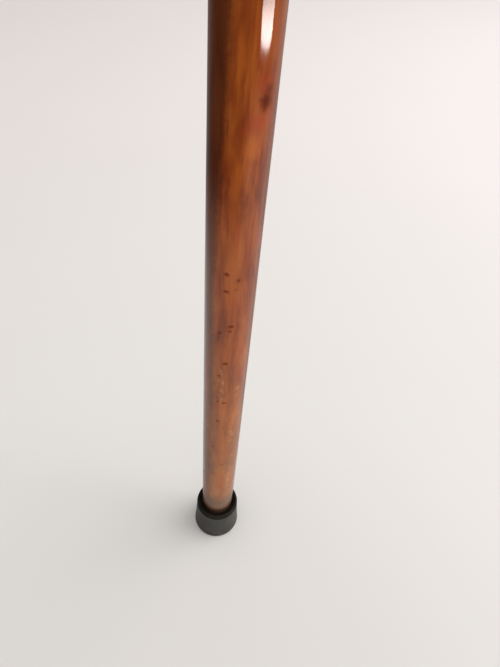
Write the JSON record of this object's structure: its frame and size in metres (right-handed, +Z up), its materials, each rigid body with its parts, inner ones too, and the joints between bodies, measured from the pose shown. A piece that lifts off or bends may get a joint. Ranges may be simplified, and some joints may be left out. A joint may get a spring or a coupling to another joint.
{
  "type": "single point cane",
  "caption": "Wooden walking cane with a tapered round shaft, a derby handle joined under a brass collar, and a push-on rubber ferrule.",
  "frame": {"origin": "centre of the ferrule's sole, on the floor", "axes": "+Z up along the shaft's axis, +X towards the nose of the handle, -X towards its hook, +Y across the handle to its left side"},
  "size_m": [0.1291, 0.0266, 0.9141],
  "materials": {
    "shaft_wood": "stained brown hardwood, glossy varnish, duller and scuffed near the foot",
    "handle_wood": "the same stained hardwood, hand-polished varnish",
    "brass": "polished brass, lightly handled",
    "zinc_steel": "zinc-plated steel",
    "black_rubber": "moulded black rubber, semi-matt",
    "washer_steel": "plain stamped steel"
  },
  "bodies": {
    "cane": {"shaft": "shaft_wood", "handle": "handle_wood", "collar": "brass", "joint_stud": "zinc_steel"},
    "ferrule": {"ferrule": "black_rubber", "ferrule_washer": "washer_steel"}
  },
  "joints": [
    {"name": "ferrule_pull_off", "type": "slide", "parent": "cane", "child": "ferrule", "axis": [0, 0, -1], "range_m": [0, 0.04]}
  ]
}
